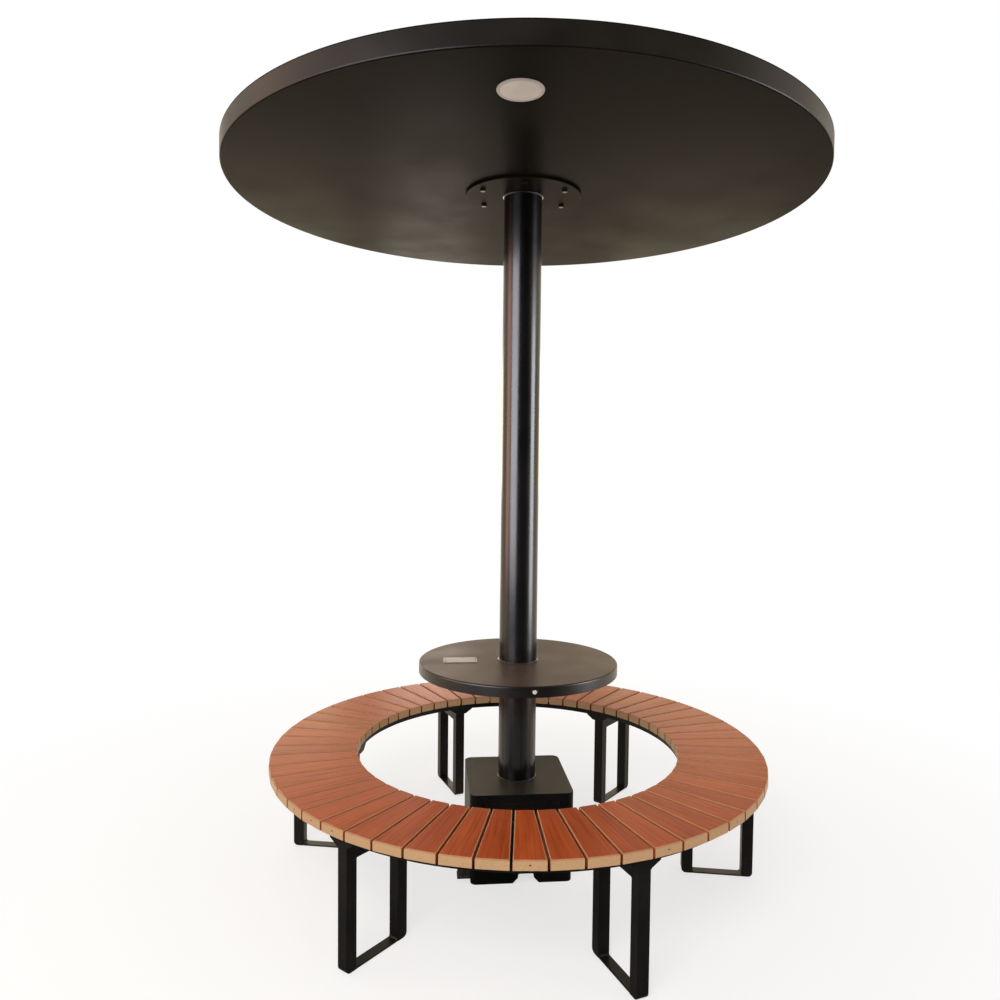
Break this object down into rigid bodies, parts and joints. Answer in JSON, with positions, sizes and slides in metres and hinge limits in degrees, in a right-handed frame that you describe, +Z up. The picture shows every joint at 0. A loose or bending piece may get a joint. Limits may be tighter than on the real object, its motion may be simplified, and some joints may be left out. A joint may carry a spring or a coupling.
{
  "type": "solar charging table",
  "caption": "Round solar canopy with a downlight on a column that carries a round charging table, a battery cabinet at its foot and a free-standing slatted ring bench around it.",
  "frame": {"origin": "on the floor, on the axis of the column", "axes": "+Z up along the column, -Y the front, where the cabinet door and the downlight are, +X to the right seen from the front"},
  "size_m": [2.1, 2.1, 2.5465],
  "materials": {
    "black_powder_coat": "satin black powder coat",
    "table_coat": "satin brown-black powder coat",
    "cabinet_coat": "satin charcoal powder coat",
    "bench_coat": "satin black paint",
    "bench_timber": "stained top face with bare edges",
    "solar_glass": "tempered cover glass over dark cells",
    "zinc_fasteners": "bright zinc plate",
    "bracket_zinc": "dull zinc plate",
    "mill_aluminium": "mill finish",
    "lamp_white": "satin white paint",
    "lamp_opal": "opal acrylic",
    "black_rubber": "matte moulded rubber",
    "socket_grey": "light grey moulded plastic",
    "socket_black": "black moulded plastic",
    "satin_steel": "brushed stainless steel",
    "battery_case": "moulded plastic",
    "controller_case": "moulded plastic",
    "board_white": "white solder mask"
  },
  "bodies": {
    "stand": {"base_plate": "cabinet_coat", "battery_pack": "battery_case", "bench_inner_ring": "bench_coat", "bench_leg_1": "bench_coat", "bench_leg_2": "bench_coat", "bench_leg_3": "bench_coat", "bench_leg_4": "bench_coat", "bench_leg_5": "bench_coat", "bench_leg_6": "bench_coat", "bench_outer_ring": "bench_coat", "bench_slats": "bench_timber", "bench_ties": "bench_coat", "button_bezel": "satin_steel", "cabinet_shell": "cabinet_coat", "cabinet_top": "cabinet_coat", "cable_loom": "black_rubber", "canopy_hub": "mill_aluminium", "canopy_pan": "black_powder_coat", "canopy_ribs": "mill_aluminium", "canopy_rim_ring": "mill_aluminium", "charge_controller": "controller_case", "column_gussets": "bracket_zinc", "column_tube": "black_powder_coat", "combiner_box": "socket_black", "door_hinge_pin": "zinc_fasteners", "flange_bolts": "zinc_fasteners", "floor_brackets": "bracket_zinc", "foot_seal": "black_rubber", "lamp_bezel": "lamp_white", "lamp_diffuser": "lamp_opal", "lamp_housing": "mill_aluminium", "lamp_led_board": "board_white", "lid_pin": "zinc_fasteners", "panel_centre_cap": "black_powder_coat", "panel_edge_trim": "black_powder_coat", "panel_gasket": "black_rubber", "panel_joint_strips": "black_powder_coat", "plinth": "cabinet_coat", "slat_screws": "zinc_fasteners", "socket_module": "socket_black", "socket_tub": "socket_grey", "solar_panel_1": "solar_glass", "solar_panel_2": "solar_glass", "solar_panel_3": "solar_glass", "solar_panel_4": "solar_glass", "table_screws": "zinc_fasteners", "table_seal": "black_rubber", "table_spider": "mill_aluminium", "table_top": "table_coat", "table_underside": "table_coat", "top_flange": "black_powder_coat", "trim_screws": "zinc_fasteners"},
    "lid": {"socket_lid": "socket_grey", "lid_pull": "satin_steel"},
    "button": {"button_cap": "satin_steel"},
    "door": {"cabinet_door": "cabinet_coat", "lock_body": "satin_steel"},
    "lock": {"lock_cylinder": "satin_steel"}
  },
  "joints": [
    {"name": "lid_hinge", "type": "hinge", "parent": "stand", "child": "lid", "pos_m": [-0.16167, -0.01642, 0.764], "axis": [-0.1011, 0.9949, 0], "range_deg": [0, 100]},
    {"name": "button_press", "type": "slide", "parent": "stand", "child": "button", "axis": [-0.1288, 0.9917, 0], "range_m": [0, 0.0025], "stiffness_N_per_m": 800},
    {"name": "door_hinge", "type": "hinge", "parent": "stand", "child": "door", "pos_m": [-0.11234, -0.18964, 0.196], "axis": [0, 0, -1], "range_deg": [0, 100]},
    {"name": "lock_turn", "type": "hinge", "parent": "door", "child": "lock", "pos_m": [0.12742, -0.1756, 0.196], "axis": [0.0958, -0.9954, 0], "range_deg": [0, 90]}
  ]
}
